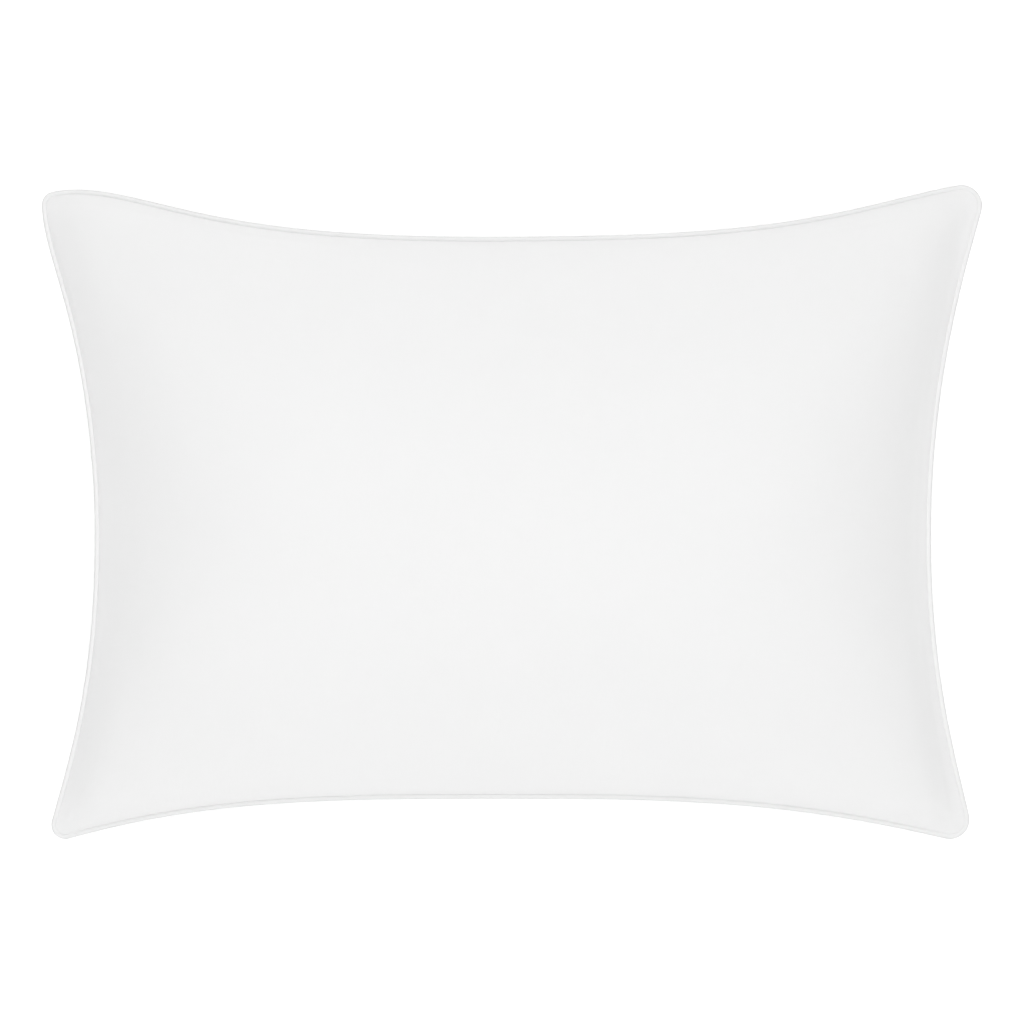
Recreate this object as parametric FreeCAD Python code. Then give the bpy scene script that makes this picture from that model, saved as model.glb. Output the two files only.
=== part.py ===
# Bed pillow with a corded edge: two cloth panels and a covered cord, sewn together round a
# filling of two wadding sheets and a fibre core. Millimetres, +Z up, X along the length.
# The origin is on the surface that the pillow lies on, under the middle of its box.
import FreeCAD
import Part

import math
import os

Vector = FreeCAD.Vector

# The filled pillow, lying on a flat surface.
THICKNESS = 180.0
SEAM_HEIGHT = 76.0  # of the seam above the surface, half way along a side
TIP_DROOP = 12.0  # how much lower the seam runs at the corner tips
TIP_DROOP_POWER = 3.0

# Rounded corner tips, anticlockwise from +X +Y: centre of the arc and its radius. They and
# the sides below set the size over the piping, 700 by 486.
CORNERS = (
    (336.0, 226.5, 15.5),
    (-338.5, 227.5, 9.5),
    (-330.5, -234.0, 10.5),
    (327.5, -230.0, 14.5),
)
CORNER_SIGNS = ((1, 1), (-1, 1), (-1, -1), (1, -1))
# Sides, each from its corner to the next: how far the filling draws it in, the power of its
# curve at the start and at the end, and how much the cloth flares out there beside the tip.
# A power of 2 is a parabola, and more keeps the middle flatter.
SIDES = (
    (37.3, 2.85, 2.2, 0.45, 1.8),
    (37.7, 1.85, 2.25, 0.9, 0.15),
    (31.3, 3.2, 2.8, 0.05, 0.1),
    (35.2, 2.1, 2.0, 0.15, 0.1),
)
FLARE_POWER = 6.0  # how near the tip the flare stays

# Places on the pillow are u and v, from -1 at one side to 1 at the other. The crown's height
# is ((1 - u ** CROWN_U) * (1 - v ** CROWN_V)) ** CROWN_ROUND of the whole, and it is rounder
# towards the tips, where the last power falls by TIP_ROUND.
CROWN_U = 4.2
CROWN_V = 3.1
CROWN_ROUND = 0.9
TIP_ROUND = 0.45
TIP_ONSET = 1.5
# The underside lies flat on the surface out to this share of the way to a side's middle, and
# then curves up to the seam.
FLAT_SHARE = 0.75
FLAT_POWER = 2.2
BELLY_POWER = 1.9
FLAT_LEVEL = 1 - FLAT_SHARE ** FLAT_POWER

# Cloth, piping and seam allowances.
CLOTH = 0.6
CORD_RADIUS = 1.6
SLIP = 0.05  # play between a ply and what it lies on
ALLOWANCE = 10.0  # turned inside, along the sides
TIP_ALLOWANCE = 4.0  # trimmed at the corners so that they turn out
TIP_REACH = 45.0  # the trimming eases out over this length of the side
BEAD_RADIUS = CORD_RADIUS + SLIP + CLOTH
ROOT = 2 * BEAD_RADIUS  # inset of the line where the panels meet the piping
FLANGE_HALF = SLIP + CLOTH  # half the thickness of the piping's two flat plies
STACK_HALF = FLANGE_HALF + CLOTH  # and of all four plies of the seam
CREASE = ROOT + 1.5 * CLOTH  # inset of the fold on the inside of each panel

# Filling.
WADDING = 22.0  # thickness of a wadding sheet
WADDING_SHARE = 0.38  # the most of the filling's height that a sheet takes near its edge
FILL_PLAY = 1.5  # between the filling and the cloth
LAYER_PLAY = 3.0  # between the wadding and the core
WADDING_EDGE = 0.93  # the wadding stops at this share of the way to the seam
CORE_EDGE = 0.88

# Threads.
THREAD_RADIUS = 0.2
THREAD_SIDES = 6
SEAM_INSET = 1.8  # of the seam line from the root
OVERLOCK = 0.4  # thickness of the thread that wraps the raw edges
OVERLOCK_START = 0.65  # it covers the rest of the allowance
CLOSING_LENGTH = 230.0  # of the opening for the filling, on the -X side
CLOSING_LEVEL = 0.98  # height of its stitches on the underside, where 1 is the root
STITCH_PITCH = 4.0
STITCH_GAP = 0.9

# Care label: a satin tape folded in two, with its ends in the -X side's seam.
LABEL_WIDTH = 32.0
LABEL_DROP = 50.0
LABEL_PLY = 0.2
LABEL_GAP = 0.1  # between its plies
LABEL_TAB = 7.0  # held in the seam
LABEL_LEAN = 4.0  # how far its fold hangs inwards of its top
LABEL_BEND = 1.0  # below the panel's edge, where it starts to hang straight
LABEL_ROOM = 1.5  # how far the lower panel's seam eases open to take it in
LABEL_Y = -140.0
LABEL_EASE = 80.0  # half the length of seam that eases open
LABEL_FADE = 4.0  # how fast that ends below the seam
LABEL_SECTIONS = 7

# How finely the surfaces are drawn.
SIDE_STATIONS = 19
TIP_STATIONS = 6
CROWN_LEVELS = (1.0, 0.985, 0.96, 0.93, 0.88, 0.80, 0.70, 0.58, 0.44, 0.30, 0.16, 0.05)
BELLY_LEVELS = (1.0, 0.94, 0.85, 0.72, 0.56, 0.40, 0.24, 0.10, 0.0)
SLOPE_STEP = 0.01
ARC_SPANS = 4


def mix(a, b, share):
    """The value at a share of the way from a to b."""
    return a + (b - a) * share


class Station:
    """A place on the outline: its point, its outward normal, its u and v, and how far into a
    tip it is."""

    def __init__(self, x, y, nx, ny, u, v, tip):
        self.x, self.y, self.nx, self.ny = x, y, nx, ny
        self.u, self.v, self.tip = u, v, tip


def side_stations(index):
    """Stations along one side, from the end of one corner's arc to the start of the next."""
    u_sign, v_sign = CORNER_SIGNS[index]
    next_u, next_v = CORNER_SIGNS[(index + 1) % 4]
    ax, ay, a_radius = CORNERS[index]
    bx, by, b_radius = CORNERS[(index + 1) % 4]
    dip, start_power, end_power, start_flare, end_flare = SIDES[index]
    length = math.hypot(bx - ax, by - ay)
    along_x, along_y = (bx - ax) / length, (by - ay) / length
    in_x, in_y = -along_y, along_x  # the outline runs anticlockwise
    stations = []
    for k in range(SIDE_STATIONS + 1):
        even = k / SIDE_STATIONS
        crowded = (1 - math.cos(math.pi * even)) / 2
        share = (even + crowded) / 2  # the stations are closer near the tips
        off_middle = 1 - 2 * share
        out = abs(off_middle)
        power = start_power if off_middle > 0 else end_power
        flare = start_flare if off_middle > 0 else end_flare
        curve, kept = 1 - out ** power, 1 - flare * out ** FLARE_POWER
        drawn_in = dip * curve * kept
        fall = power * out ** (power - 1) * kept
        fall += flare * FLARE_POWER * out ** (FLARE_POWER - 1) * curve
        slope = math.copysign(2 * dip * fall / length, off_middle)
        run = math.hypot(1, slope)
        nx = (-in_x + along_x * slope) / run
        ny = (-in_y + along_y * slope) / run
        radius = mix(a_radius, b_radius, share)
        x = mix(ax, bx, share) + in_x * drawn_in + nx * radius
        y = mix(ay, by, share) + in_y * drawn_in + ny * radius
        u, v = mix(u_sign, next_u, share), mix(v_sign, next_v, share)
        tip = max(0.0, 1 - min(share, 1 - share) * length / TIP_REACH)
        stations.append(Station(x, y, nx, ny, u, v, tip))
    return stations


def tip_stations(index, before, after):
    """Stations round one corner's arc, between the sides before and after it."""
    cx, cy, radius = CORNERS[index]
    u, v = CORNER_SIGNS[index]
    start = math.atan2(before.ny, before.nx)
    sweep = (math.atan2(after.ny, after.nx) - start) % (2 * math.pi)
    stations = []
    for k in range(1, TIP_STATIONS + 1):
        angle = start + sweep * k / (TIP_STATIONS + 1)
        nx, ny = math.cos(angle), math.sin(angle)
        x, y = cx + radius * nx, cy + radius * ny
        stations.append(Station(x, y, nx, ny, u, v, 1.0))
    return stations


def outline():
    """The stations of the whole outline, with the middle of its box at 0, 0."""
    sides = [side_stations(i) for i in range(4)]
    stations = []
    for i, side in enumerate(sides):
        following = (i + 1) % 4
        stations += side + tip_stations(following, side[-1], sides[following][0])
    middle_x = (min(s.x for s in stations) + max(s.x for s in stations)) / 2
    middle_y = (min(s.y for s in stations) + max(s.y for s in stations)) / 2
    for s in stations:
        s.x -= middle_x
        s.y -= middle_y
        s.seam_z = SEAM_HEIGHT - TIP_DROOP * abs(s.u * s.v) ** TIP_DROOP_POWER
        s.allowance = mix(ALLOWANCE, TIP_ALLOWANCE, s.tip)
        s.root_x, s.root_y = s.x - s.nx * ROOT, s.y - s.ny * ROOT
        off_label = min(1.0, abs(s.y - LABEL_Y) / LABEL_EASE) if s.x < 0 else 1.0
        s.label_room = LABEL_ROOM * (1 - off_label ** 2) ** 2
    return stations


STATIONS = outline()


def root_distance(station):
    """How far the root is from the middle."""
    return math.hypot(station.root_x, station.root_y)


def ring(inset, height, allowance=0.0, room=0.0):
    """A closed row of points, at an inset from the outline and a height over the seam line,
    with these shares of the allowance and of the label's room."""
    points = []
    for s in STATIONS:
        d = inset + allowance * s.allowance
        z = s.seam_z + height - room * s.label_room
        points.append(Vector(s.x - s.nx * d, s.y - s.ny * d, z))
    return points


def fullness(station, t, u_power, v_power, power):
    """How far the cloth stands off the seam's level at share t of the way to the seam: 1 in
    the middle, 0 at the seam."""
    u, v = abs(station.u) * t, abs(station.v) * t
    rounder = TIP_ROUND * (u * v) ** TIP_ONSET
    return ((1 - u ** u_power) * (1 - v ** v_power)) ** (power - rounder)


def crown_z(station, t):
    """Height of the upper surface at share t of the way to the seam."""
    if t <= CROWN_LEVELS[-1]:
        return THICKNESS
    foot = station.seam_z + FLANGE_HALF
    return mix(foot, THICKNESS, fullness(station, t, CROWN_U, CROWN_V, CROWN_ROUND))


def flat_edge(station):
    """How far out the flat of the underside reaches, as a share of the way to the seam. It
    solves (1 - u ** FLAT_POWER) * (1 - v ** FLAT_POWER) = FLAT_LEVEL."""
    a, b = abs(station.u) ** FLAT_POWER, abs(station.v) ** FLAT_POWER
    root = math.sqrt((a + b) ** 2 - 4 * a * b * (1 - FLAT_LEVEL))
    return (2 * (1 - FLAT_LEVEL) / (a + b + root)) ** (1 / FLAT_POWER)


def belly_z(station, t):
    """Height of the underside at share t of the way to the seam."""
    if t <= flat_edge(station):
        return 0.0
    depth = fullness(station, t, FLAT_POWER, FLAT_POWER, 1.0)
    edge_depth = fullness(station, flat_edge(station), FLAT_POWER, FLAT_POWER, 1.0)
    lift = max(0.0, 1 - depth / edge_depth) ** BELLY_POWER
    return (station.seam_z - FLANGE_HALF) * lift - station.label_room * lift ** LABEL_FADE


def square_to(surface_z, station, t, depth):
    """The vertical distance that is this depth square to the surface."""
    inner = max(t - SLOPE_STEP, 0)
    rise = surface_z(station, t) - surface_z(station, inner)
    return depth * math.hypot(1, rise / ((t - inner) * root_distance(station)))


def crown_row(t, cloth=0.0):
    """A closed row of the upper surface, or of its inside if given the cloth's thickness."""
    row = []
    for s in STATIONS:
        z = crown_z(s, t) - square_to(crown_z, s, t, cloth)
        row.append(Vector(s.root_x * t, s.root_y * t, z))
    return row


def belly_point(station, level, cloth=0.0):
    """A point of the underside, at a level from 0 at the flat's edge to 1 at the seam."""
    t = mix(flat_edge(station), 1.0, level)
    z = belly_z(station, t) + square_to(belly_z, station, t, cloth)
    return Vector(station.root_x * t, station.root_y * t, z)


def belly_row(level, cloth=0.0):
    """A closed row of the underside, or of its inside if given the cloth's thickness."""
    return [belly_point(s, level, cloth) for s in STATIONS]


def skin(rows, weights=None):
    """A surface over closed rows of poles: an arc through weighted rows, straight between
    two rows and smooth over more."""
    count = len(rows[0])
    degree = 2 if weights else min(3, len(rows) - 1)
    inner = 2 if weights else 1  # multiplicity of the knots between spans
    spans = (len(rows) - 1 - degree) // inner + 1
    grid = [[weight] * count for weight in weights or [1.0] * len(rows)]
    surface = Part.BSplineSurface()
    surface.buildFromPolesMultsKnots(
        rows,
        [degree + 1] + [inner] * (spans - 1) + [degree + 1],
        [1] * (count + 1),
        list(range(spans + 1)),
        list(range(count + 1)),
        False,
        True,
        degree,
        3,
        grid,
    )
    return surface.toShape()


def closed_curve(row):
    """The smooth closed curve over a row of poles."""
    knots = list(range(len(row) + 1))
    curve = Part.BSplineCurve()
    curve.buildFromPolesMultsKnots(row, [1] * len(knots), knots, True, 3)
    return curve


def cap(row):
    """The flat face inside a closed flat row."""
    return Part.Face(Part.Wire([closed_curve(row).toShape()]))


def arc(inset, height, radius, start, end):
    """Rows and weights of an arc round a line at this inset and height, between two angles
    in degrees, which are measured upwards from the inward direction."""
    half = math.radians(end - start) / ARC_SPANS / 2
    rows, weights = [], []
    for k in range(2 * ARC_SPANS + 1):
        angle = math.radians(start) + k * half
        between = k % 2 == 1  # the pole where the tangents of a span's ends meet
        reach = radius / math.cos(half) if between else radius
        out, up = reach * math.cos(angle), reach * math.sin(angle)
        rows.append(ring(inset + out, height + up))
        weights.append(math.cos(half) if between else 1.0)
    return rows, weights


def solid(faces):
    """A closed solid from faces that meet along their edges."""
    shell = Part.makeShell(faces)
    shell.sewShape()
    made = Part.makeSolid(shell.Shells[0])
    if made.Volume < 0:
        made.reverse()
    return made


def ruled(corners):
    """A closed solid whose section has these rows for corners, with straight lines between."""
    return solid([skin([a, b]) for a, b in zip(corners, corners[1:] + corners[:1])])


def thread_ring(height, room=0.0):
    """A thread that follows the seam line at a height, with a many-sided section."""
    corners = []
    for k in range(THREAD_SIDES):
        angle = 2 * math.pi * k / THREAD_SIDES
        out, up = THREAD_RADIUS * math.cos(angle), THREAD_RADIUS * math.sin(angle)
        corners.append(ring(ROOT + SEAM_INSET + out, height + up, room=room))
    return ruled(corners)


def top_panel():
    """Upper panel: the crown, and its allowance turned inside on top of the piping's."""
    outer = [crown_row(t) for t in CROWN_LEVELS]
    crease = ring(CREASE, STACK_HALF)
    inner = [crease] + [crown_row(t, CLOTH) for t in CROWN_LEVELS[2:]]
    low = ring(ROOT, FLANGE_HALF, allowance=1)
    high = ring(ROOT, STACK_HALF, allowance=1)
    return solid([
        skin(outer), cap(outer[-1]), skin(inner), cap(inner[-1]),
        skin([outer[0], low]), skin([low, high]), skin([high, crease]),
    ])


def bottom_panel():
    """Lower panel: the flat that the pillow lies on, the curve up to the seam and the
    allowance turned inside under the piping's, eased down where the label goes in."""
    outer = [belly_row(level) for level in BELLY_LEVELS]
    crease = ring(CREASE, -STACK_HALF, room=1)
    inner = [crease] + [belly_row(level, CLOTH) for level in BELLY_LEVELS[1:]]
    high = ring(ROOT, -FLANGE_HALF, allowance=1, room=1)
    low = ring(ROOT, -STACK_HALF, allowance=1, room=1)
    return solid([
        skin(outer), cap(outer[-1]), skin(inner), cap(inner[-1]),
        skin([outer[0], high]), skin([high, low]), skin([low, crease]),
    ])


def piping_cover():
    """Bias strip folded round the cord, its two plies lying together in the seam."""
    bore = CORD_RADIUS + SLIP
    outer_edge = math.degrees(math.asin(FLANGE_HALF / BEAD_RADIUS))
    inner_edge = math.degrees(math.asin(SLIP / bore))
    outer, outer_weights = arc(BEAD_RADIUS, 0, BEAD_RADIUS, outer_edge, 360 - outer_edge)
    inner, inner_weights = arc(BEAD_RADIUS, 0, bore, inner_edge, 360 - inner_edge)
    raw = [ring(ROOT, h, allowance=1) for h in (FLANGE_HALF, SLIP, -SLIP, -FLANGE_HALF)]
    return solid([
        skin(outer, outer_weights), skin(inner, inner_weights),
        skin([outer[0], raw[0]]), skin([raw[0], raw[1]]), skin([raw[1], inner[0]]),
        skin([inner[-1], raw[2]]), skin([raw[2], raw[3]]), skin([raw[3], outer[-1]]),
    ])


def piping_cord():
    """Filler cord inside the piping."""
    halves = [arc(BEAD_RADIUS, 0, CORD_RADIUS, start, start + 180) for start in (0, 180)]
    return solid([skin(rows, weights) for rows, weights in halves])


def seam_thread():
    """Needle thread on the upper allowance and bobbin thread under the lower one."""
    off_seam = STACK_HALF + SLIP + THREAD_RADIUS
    return Part.makeCompound([thread_ring(off_seam), thread_ring(-off_seam, room=1)])


def overlock_thread():
    """Thread wrapped over the raw edges of all four plies, as one band."""
    near = STACK_HALF + SLIP
    far = near + OVERLOCK
    wrap = ROOT + SLIP
    corners = [
        ring(ROOT, near, allowance=OVERLOCK_START),
        ring(ROOT, far, allowance=OVERLOCK_START),
        ring(wrap + OVERLOCK, far, allowance=1),
        ring(wrap + OVERLOCK, -far, allowance=1, room=1),
        ring(ROOT, -far, allowance=OVERLOCK_START, room=1),
        ring(ROOT, -near, allowance=OVERLOCK_START, room=1),
        ring(wrap, -near, allowance=1, room=1),
        ring(wrap, near, allowance=1),
    ]
    return ruled(corners)


def closing_thread():
    """Stitches that close the opening for the filling, on the lower panel beside the piping
    of the -X side."""
    surface = skin([belly_row(level) for level in BELLY_LEVELS]).Surface
    waist = min((s for s in STATIONS if s.x < 0), key=lambda s: abs(s.y))
    u, middle = surface.parameter(belly_point(waist, CLOSING_LEVEL))
    line = surface.uIso(u)
    off_cloth = SLIP + THREAD_RADIUS
    stitches = []
    for k in range(int(CLOSING_LENGTH / STITCH_PITCH)):
        start = k * STITCH_PITCH - CLOSING_LENGTH / 2
        ends = []
        for distance in (start, start + STITCH_PITCH - STITCH_GAP):
            v = line.parameterAtDistance(distance, middle)
            outward = surface.normal(u, v)
            outward = outward if outward.z < 0 else -outward
            ends.append(line.value(v) + outward * off_cloth)
        run = ends[1] - ends[0]
        stitches.append(Part.makeCylinder(THREAD_RADIUS, run.Length, ends[0], run))
    return Part.makeCompound(stitches)


def label_path():
    """Middle line of the folded label: inset from the outline and depth under the seam, from
    the end held in the seam, round the lower panel's edge, to the fold that hangs free."""
    slot = FLANGE_HALF + LABEL_ROOM / 2
    edge = FLANGE_HALF + LABEL_ROOM  # depth of the panel's edge, which is at the root
    from_bead = math.hypot(ROOT - BEAD_RADIUS, edge)
    throat = (BEAD_RADIUS + from_bead) / 2 / from_bead  # midway from the bead to the edge
    turn = BEAD_RADIUS + (ROOT - BEAD_RADIUS) * throat
    path = [(ROOT + LABEL_TAB * share, slot) for share in (1, 0.5, 0.15, 0)]
    path += [(turn, edge * throat), (turn, edge + LABEL_BEND)]
    for share in (0.1, 0.35, 0.7, 1):
        path.append((turn + LABEL_LEAN * share, edge + LABEL_DROP * share))
    return path


def beside(path, offset):
    """The path moved sideways by an offset."""
    moved = []
    for k, (a, b) in enumerate(path):
        before, after = path[max(k - 1, 0)], path[min(k + 1, len(path) - 1)]
        run_a, run_b = after[0] - before[0], after[1] - before[1]
        length = math.hypot(run_a, run_b)
        moved.append((a + offset * run_b / length, b - offset * run_a / length))
    return moved


def care_label():
    """Blank satin label, folded in two, hanging from the seam under the -X side."""
    path = label_path()
    near, far = LABEL_GAP / 2, LABEL_GAP / 2 + LABEL_PLY
    left, right = beside(path, far), beside(path, -far)
    left_inside, right_inside = beside(path, near), beside(path, -near)
    fold = (path[-1][0], path[-1][1] + 2 * far)
    fold_inside = (path[-1][0], path[-1][1] + 2 * near)
    loop = [left[0]] + left + [fold] + right[::-1] + [right[0]]
    loop += [right_inside[0]] + right_inside + [fold_inside] + left_inside[::-1]
    loop += [left_inside[0]]
    seam = closed_curve(ring(0, 0))
    middle = seam.parameter(Vector(min(s.x for s in STATIONS), LABEL_Y, SEAM_HEIGHT))
    sections = []
    for k in range(LABEL_SECTIONS):
        distance = LABEL_WIDTH * (k / (LABEL_SECTIONS - 1) - 0.5)
        at = seam.parameterAtDistance(distance, middle)
        along = Vector(*seam.tangent(at)[0])
        inward = Vector(-along.y, along.x, 0).normalize()
        down = inward.cross(along)
        point = seam.value(at)
        sections.append([point + inward * a + down * b for a, b in loop])
    return solid([skin(sections), cap(sections[0]), cap(sections[-1])])


def layer_heights(station, t, layer):
    """Upper and lower height of a layer of the filling at share t of the way to the seam."""
    off_cloth = CLOTH + FILL_PLAY
    top = crown_z(station, t) - square_to(crown_z, station, t, off_cloth)
    bottom = belly_z(station, t) + square_to(belly_z, station, t, off_cloth)
    sheet = min(WADDING, WADDING_SHARE * (top - bottom))
    if layer == "upper":
        return top, top - sheet
    if layer == "lower":
        return bottom + sheet, bottom
    return top - sheet - LAYER_PLAY, bottom + sheet + LAYER_PLAY


def filling(edge, layer):
    """One layer of the filling, from this share of the way to the seam inwards."""
    inside = [t for t in CROWN_LEVELS if t < edge - SLOPE_STEP]
    upper, lower = [], []
    for t in [edge] + inside:
        heights = [layer_heights(s, t, layer) for s in STATIONS]
        spots = [(s.root_x * t, s.root_y * t) for s in STATIONS]
        upper.append([Vector(x, y, z[0]) for (x, y), z in zip(spots, heights)])
        lower.append([Vector(x, y, z[1]) for (x, y), z in zip(spots, heights)])
    return solid([
        skin(upper), cap(upper[-1]), skin(lower), cap(lower[-1]),
        skin([upper[0], lower[0]]),
    ])


NODES = {
    "top_panel": top_panel,
    "bottom_panel": bottom_panel,
    "piping_cover": piping_cover,
    "piping_cord": piping_cord,
    "seam_thread": seam_thread,
    "overlock_thread": overlock_thread,
    "closing_thread": closing_thread,
    "care_label": care_label,
    "upper_wadding": lambda: filling(WADDING_EDGE, "upper"),
    "fibre_core": lambda: filling(CORE_EDGE, "core"),
    "lower_wadding": lambda: filling(WADDING_EDGE, "lower"),
}


def main():
    os.makedirs("parts", exist_ok=True)
    for name, make in NODES.items():
        shape = make()
        shape.exportStep(f"parts/{name}.step")
        box = shape.BoundBox
        print(
            f"{name:16s} valid {shape.isValid()} {shape.Volume / 1000:9.2f} cm3, box",
            f"{box.XMin:.1f} {box.YMin:.1f} {box.ZMin:.1f} to",
            f"{box.XMax:.1f} {box.YMax:.1f} {box.ZMax:.1f}",
        )


main()
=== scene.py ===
"""The looks of a bed pillow with a corded edge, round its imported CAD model.

Metres, +Z up, X along the pillow. The cover is half way between the pillow's firm filled
shape and one cloth simulation that starts from it, with the seam held where the CAD has it.
Everything else is laid on or under that cover.
"""

import math

import bpy
import numpy as np
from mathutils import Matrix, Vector, noise


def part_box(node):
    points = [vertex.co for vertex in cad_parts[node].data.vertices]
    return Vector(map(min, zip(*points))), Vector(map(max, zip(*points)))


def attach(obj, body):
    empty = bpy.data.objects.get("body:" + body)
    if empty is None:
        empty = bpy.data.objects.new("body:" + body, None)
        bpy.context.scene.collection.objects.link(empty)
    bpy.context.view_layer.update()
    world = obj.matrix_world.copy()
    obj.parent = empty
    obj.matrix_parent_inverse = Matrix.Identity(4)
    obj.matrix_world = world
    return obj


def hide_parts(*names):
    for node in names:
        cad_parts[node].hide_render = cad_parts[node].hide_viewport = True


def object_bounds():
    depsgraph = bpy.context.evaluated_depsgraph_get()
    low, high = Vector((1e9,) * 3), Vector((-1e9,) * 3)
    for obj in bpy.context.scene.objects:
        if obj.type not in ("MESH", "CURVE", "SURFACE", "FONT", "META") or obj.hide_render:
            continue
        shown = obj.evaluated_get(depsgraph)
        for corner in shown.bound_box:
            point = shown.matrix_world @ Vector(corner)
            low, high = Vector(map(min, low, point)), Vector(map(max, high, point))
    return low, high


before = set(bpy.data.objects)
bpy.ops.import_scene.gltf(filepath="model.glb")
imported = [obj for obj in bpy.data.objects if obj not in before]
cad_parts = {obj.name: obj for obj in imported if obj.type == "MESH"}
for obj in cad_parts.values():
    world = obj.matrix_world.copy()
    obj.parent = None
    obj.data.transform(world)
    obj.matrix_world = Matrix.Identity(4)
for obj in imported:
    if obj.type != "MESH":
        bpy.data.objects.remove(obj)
CAD_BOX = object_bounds()
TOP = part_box("top_panel")[1].z

# Outline over the piping, as the CAD has it: centres and radii of the corner tips, and how
# far each side is drawn in, with the powers of its curve and its flares at its two ends.
CORNERS = (
    (0.336, 0.2265, 0.0155),
    (-0.3385, 0.2275, 0.0095),
    (-0.3305, -0.234, 0.0105),
    (0.3275, -0.230, 0.0145),
)
CORNER_SIGNS = ((1, 1), (-1, 1), (-1, -1), (1, -1))
SIDES = (
    (0.0373, 2.85, 2.2, 0.45, 1.8),
    (0.0377, 1.85, 2.25, 0.9, 0.15),
    (0.0313, 3.2, 2.8, 0.05, 0.1),
    (0.0352, 2.1, 2.0, 0.15, 0.1),
)
FLARE_POWER = 6
SEAM_HEIGHT = 0.076
TIP_DROOP = 0.012
TIP_DROOP_POWER = 3

# Piping and seam.
CLOTH = 0.0006
SLIP = 0.00005  # play between a ply and what it lies on
CORD_RADIUS = 0.0016
BEAD_RADIUS = 0.00225
ROOT = 2 * BEAD_RADIUS  # inset of the line where the panels meet the piping
FLANGE_HALF = 0.00065
LIP_INSET = 0.0036  # where the filled panels bear on the shoulder of the piping, and how far
LIP_HEIGHT = 0.0019  # above or below the seam
HEM_INSET = 0.0042  # where the cloth bends between the seam and that lip, in the same way
HEM_HEIGHT = 0.0014
LIP_POWER = 30  # how near the seam the cloth stays raised to its lip
FOLD_INSET = 1.5  # in cloth thicknesses, of the inner side of the turned-in allowance's fold
ALLOWANCE = 0.010
TIP_ALLOWANCE = 0.004
TIP_REACH = 0.045

# Filled shape that the simulation starts from; the CAD's.
CROWN_POWERS = (4.2, 3.1, 0.9)
FLAT_SHARE = 0.75
FLAT_POWER = 2.2
BELLY_POWER = 1.9
TIP_ROUND = 0.45
TIP_ONSET = 1.5

# Cloth: a panel's cut size, and half the lengths of its sides from tip to tip.
CUT = (0.760, 0.520)
HALF_SIDES = (0.3365, 0.2305)

# Simulation, and the height and size of the soft lumps that loose fibre makes.
START_SLACK = 0.10  # how much lower than full the cover starts before the pressure fills it
PRESSURE = 4.0
CLEARANCE = 0.0008  # that the cloth keeps from the floor
FRAMES = 36
SETTLED = 0.5  # how far the cover goes from the firm shape to the simulated one
SMOOTHING = 8  # passes of it over the result
EDGE_POWER = 8  # how near the seam the lumps fade out
FILL_LUMP = 0.0012
FILL_LUMP_SIZE = 0.11

# Gathers beside the seam: how far in their top is and at how many times that they end, their
# spacing and length, their height along the sides and in the tips, and where the tips begin.
PUCKER_REACH = 0.005
PUCKER_END = 8
PUCKER_PITCH = 0.009
PUCKER_LENGTH = 0.045
PUCKER_SIDE = 0.00028
PUCKER_TIP = 0.0009
PUCKER_TIP_POWER = 6

# Piping: spacing of its rings, its faint gathers, and the join of its ends, whose place is a
# share of the way round from the +X +Y tip, and which swells and dips at its seam.
PIPING_STEP = 0.0014
PIPING_PITCH = 0.006
PIPING_RIPPLE = 0.00014
JOIN_AT = 0.385
JOIN_WIDTH = 0.004
JOIN_SWELL = 0.00025
JOIN_DIP = 0.9  # of the swell
JOIN_DIP_WIDTH = 0.0005
CORD_STEP = 0.0012
CORD_SIDES = 18
CORD_STRANDS = 3
CORD_LAY = 0.011  # length of one turn of its strands
CORD_GROOVE = 0.86  # of its radius, between two strands
CORD_RELIEF = 0.13

# Closing stitches: a stitch's length and its slant across the seam are uneven.
THREAD_RADIUS = 0.0002
STITCH_PITCH = 0.004
STITCH_SHARE = 0.72  # of the pitch that a stitch is long
STITCH_SLANT = 0.35  # in cells of the grid
UNEVEN = 0.12
CLOSING_LENGTH = 0.230

# Care label: how much of the tape's end the seam holds, how deep under the seam it turns
# down, how far it hangs and leans, half the gap between its two plies in the seam and how
# much wider that is at the bottom, and how far its free end bows, twists and waves.
LABEL_WIDTH = 0.032
LABEL_HELD = 0.007
LABEL_TURN = 0.0022
LABEL_DROP = 0.050
LABEL_LEAN = 0.004
LABEL_PLY = 0.0002
LABEL_GAP = 0.00014
LABEL_OPEN = 0.0009
LABEL_BOW = 0.0016
LABEL_TWIST = 0.0022
LABEL_WAVE = 0.0006
LABEL_Y = -0.140
SATIN_PITCH = 0.00035
SELVEDGE = 0.0016

# Filling: its sheets, how many cells of the grid each layer stops inside the seam, and the
# tufts on its faces.
WADDING = 0.022
WADDING_SHARE = 0.38
FILL_PLAY = 0.003
WADDING_CELLS = 5
CORE_CELLS = 8
FIBRE_TUFT = 0.0012
FIBRE_TUFT_SIZE = 0.014

# The cover's cloth: its colour, the pitch of its threads and how far they stand out, its
# thick and thin stretches of thread in pitches, its crumples and its clouds, and the tone,
# half width and patches of the painted shade on the piping's outer side: a greyer band that
# stands in for the shade on the bead's outer flank.
COTTON = (0.78, 0.78, 0.78)
THREAD_PITCH = 0.00032
THREAD_RELIEF = 0.00005
SLUB_WIDTH = 1.3
SLUB_LENGTH = 70
CRUMPLE = 0.006
CRUMPLE_RELIEF = 0.00010
CLOUD = 0.09
# Painted shade on the piping's outer side: how grey, how far it reaches each way from the outermost
# line, and the size of its patches.
PIPING_SHADE_TONE = 0.60
PIPING_SHADE_WIDTH = 0.003
PIPING_SHADE_PATCH = 0.012

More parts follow.
